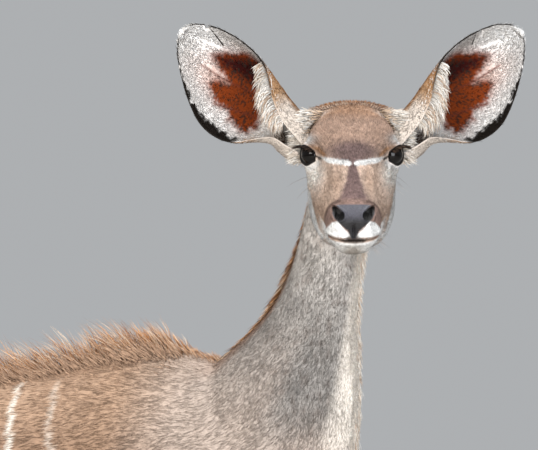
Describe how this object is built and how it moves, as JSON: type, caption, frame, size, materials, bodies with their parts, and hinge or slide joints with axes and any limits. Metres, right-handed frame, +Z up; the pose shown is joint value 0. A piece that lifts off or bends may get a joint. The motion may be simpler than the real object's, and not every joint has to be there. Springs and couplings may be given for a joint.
{
  "type": "greater kudu cow",
  "caption": "Life-size still model of a greater kudu cow standing alert, head turned to her right, large ears spread, mane on the shoulders.",
  "frame": {"origin": "on the floor, below the middle of the bounding box", "axes": "+X the way the body faces, +Y her left side, +Z up"},
  "size_m": [1.5091, 0.4778, 1.7351],
  "materials": {
    "hide": "short matt tan-brown coat with thin white stripes",
    "neck_hide": "short matt grey coat with dark flecks",
    "ear_hide": "thin hide, tan outside, red-brown and white inside",
    "tail_hair": "long hair, brown above, white below, black tip",
    "eye": "wet glossy black-brown",
    "hoof_horn": "dark hoof horn, slightly polished"
  },
  "bodies": {
    "root": {"head": "hide", "neck": "neck_hide", "eye_left": "eye", "ear_left": "ear_hide", "eye_right": "eye", "ear_right": "ear_hide", "torso": "hide", "tail": "tail_hair", "leg_front_left": "hide", "hoof_front_left_inner": "hoof_horn", "dewclaw_front_left_inner": "hoof_horn", "hoof_front_left_outer": "hoof_horn", "dewclaw_front_left_outer": "hoof_horn", "leg_front_right": "hide", "hoof_front_right_inner": "hoof_horn", "dewclaw_front_right_inner": "hoof_horn", "hoof_front_right_outer": "hoof_horn", "dewclaw_front_right_outer": "hoof_horn", "leg_hind_left": "hide", "hoof_hind_left_inner": "hoof_horn", "dewclaw_hind_left_inner": "hoof_horn", "hoof_hind_left_outer": "hoof_horn", "dewclaw_hind_left_outer": "hoof_horn", "leg_hind_right": "hide", "hoof_hind_right_inner": "hoof_horn", "dewclaw_hind_right_inner": "hoof_horn", "hoof_hind_right_outer": "hoof_horn", "dewclaw_hind_right_outer": "hoof_horn"}
  },
  "joints": []
}
